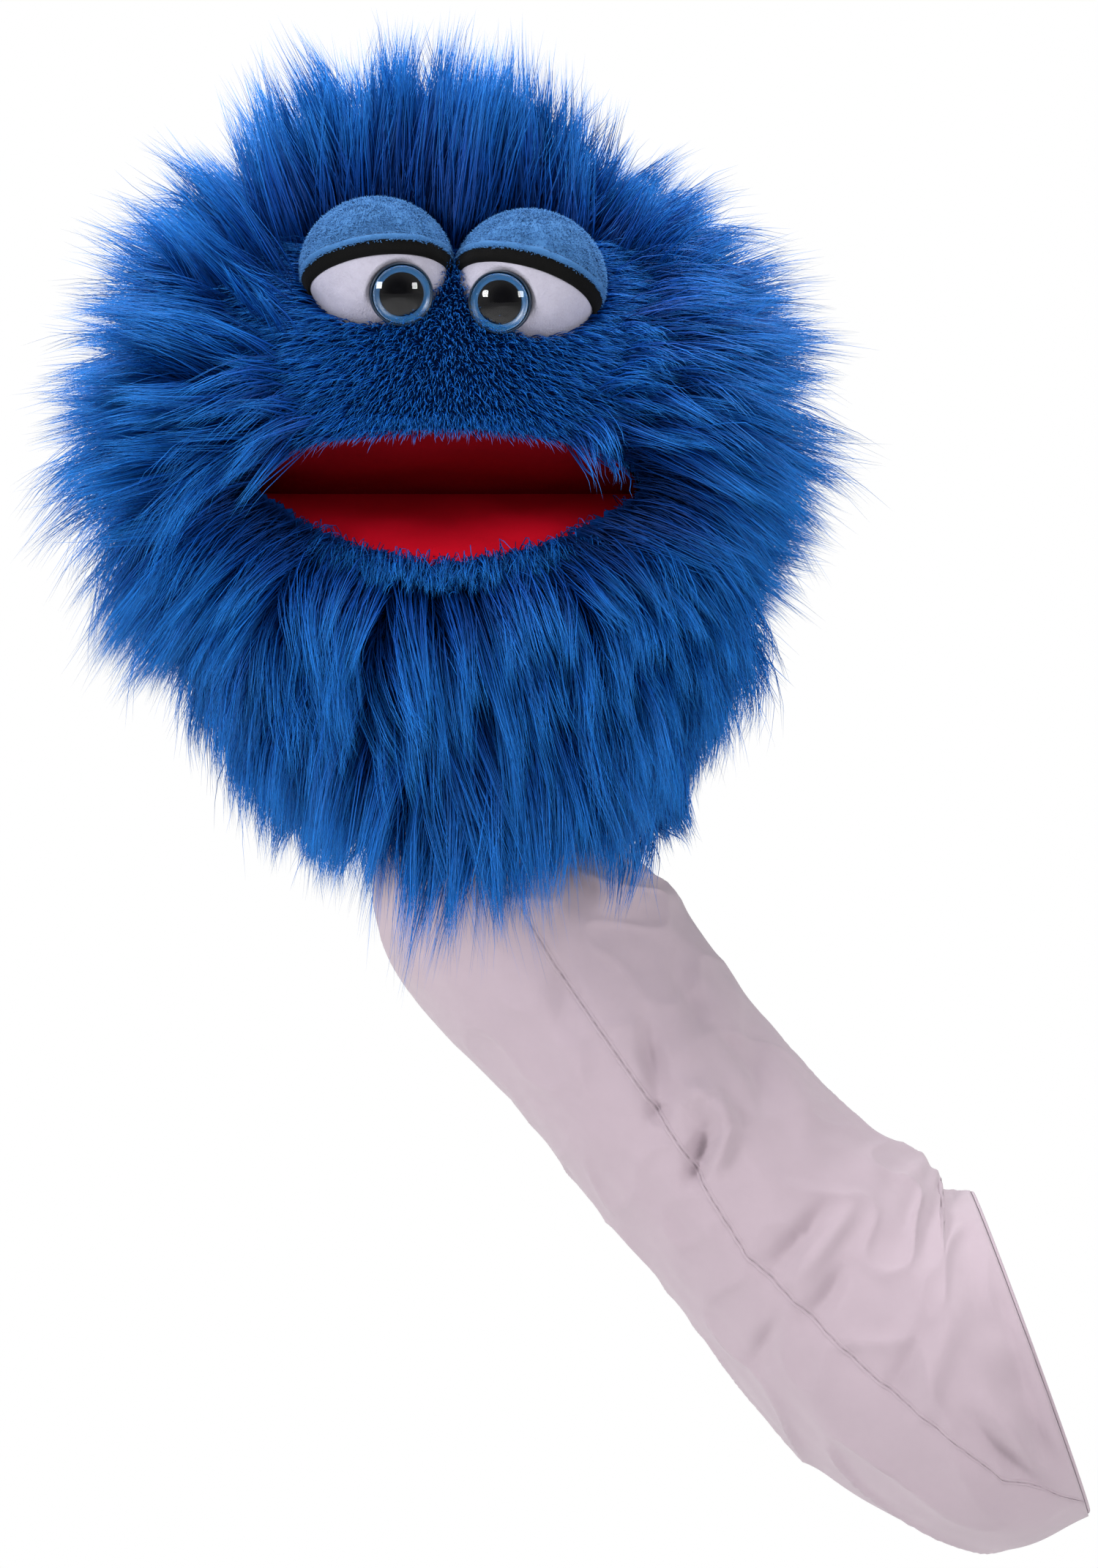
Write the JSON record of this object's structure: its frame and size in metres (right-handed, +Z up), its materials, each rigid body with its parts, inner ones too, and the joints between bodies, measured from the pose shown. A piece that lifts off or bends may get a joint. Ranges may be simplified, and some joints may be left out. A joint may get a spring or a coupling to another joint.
{
  "type": "moving mouth hand puppet",
  "caption": "Furry hand puppet with a round long-pile head, stuffed eyes, a hinged mouth worked by the hand inside, and a cloth arm sleeve.",
  "frame": {"origin": "centre of the sleeve's arm opening, in the plane of its hem", "axes": "+Z up, the face looks along -Y, +X is to the right as seen from the front; the arm goes in along -X and up through the sleeve"},
  "size_m": [0.3735, 0.2494, 0.5428],
  "materials": {
    "long_pile": "long brushed pile",
    "muzzle_pile": "short brushed pile",
    "foam": "open-cell foam",
    "stuffing": "soft fibre filling",
    "mouth_felt": "matte felt",
    "mouth_board": "stiff flexible board",
    "lining_cloth": "plain lining",
    "eye_fleece": "fine fleece",
    "washer_plastic": "matte",
    "iris_plastic": "glossy",
    "pupil_plastic": "glossy",
    "clear_plastic": "clear, glossy",
    "eyelid_plush": "short plush",
    "lash_felt": "felt",
    "elastic": "woven elastic",
    "neck_cloth": "twill tape",
    "sleeve_cloth": "plain cotton"
  },
  "bodies": {
    "sleeve": {"sleeve_upper_panel": "sleeve_cloth", "sleeve_lower_panel": "sleeve_cloth", "sleeve_neck_band": "sleeve_cloth", "cuff_hem": "sleeve_cloth", "cuff_elastic": "elastic"},
    "neck_tape": {"neck_tape": "neck_cloth"},
    "neck_band": {"neck_lining_band": "neck_cloth"},
    "head": {"crown_fur": "long_pile", "back_fur": "long_pile", "cheek_fur_left": "long_pile", "cheek_fur_right": "long_pile", "neck_fur": "long_pile", "muzzle_fur": "muzzle_pile", "head_foam": "foam", "head_lining": "lining_cloth", "palate_lining": "mouth_felt", "upper_mouth_plate": "mouth_board", "mouth_crease": "mouth_felt", "finger_pocket": "lining_cloth", "eye_white_left": "eye_fleece", "eye_filling_left": "stuffing", "eye_washer_left": "washer_plastic", "eye_iris_left": "iris_plastic", "eye_pupil_left": "pupil_plastic", "eye_dome_left": "clear_plastic", "eyelid_left": "eyelid_plush", "lash_band_left": "lash_felt", "eye_white_right": "eye_fleece", "eye_filling_right": "stuffing", "eye_washer_right": "washer_plastic", "eye_iris_right": "iris_plastic", "eye_pupil_right": "pupil_plastic", "eye_dome_right": "clear_plastic", "eyelid_right": "eyelid_plush", "lash_band_right": "lash_felt"},
    "jaw": {"chin_fur": "long_pile", "chin_foam": "foam", "tongue_lining": "mouth_felt", "lower_mouth_plate": "mouth_board", "thumb_pocket": "lining_cloth"}
  },
  "joints": [
    {"name": "neck_turn", "type": "hinge", "parent": "sleeve", "child": "neck_tape", "pos_m": [-0.191, 0, 0.194], "axis": [0, 0, 1], "range_deg": [-30, 30]},
    {"name": "neck_tilt", "type": "hinge", "parent": "neck_tape", "child": "neck_band", "pos_m": [-0.191, 0, 0.194], "axis": [0, 1, 0], "range_deg": [-10, 10]},
    {"name": "neck_nod", "type": "hinge", "parent": "neck_band", "child": "head", "pos_m": [-0.191, 0, 0.194], "axis": [1, 0, 0], "range_deg": [-14, 14]},
    {"name": "jaw_hinge", "type": "hinge", "parent": "head", "child": "jaw", "pos_m": [-0.212, -0.018, 0.312], "axis": [1, 0, 0], "range_deg": [-32, 20]}
  ]
}
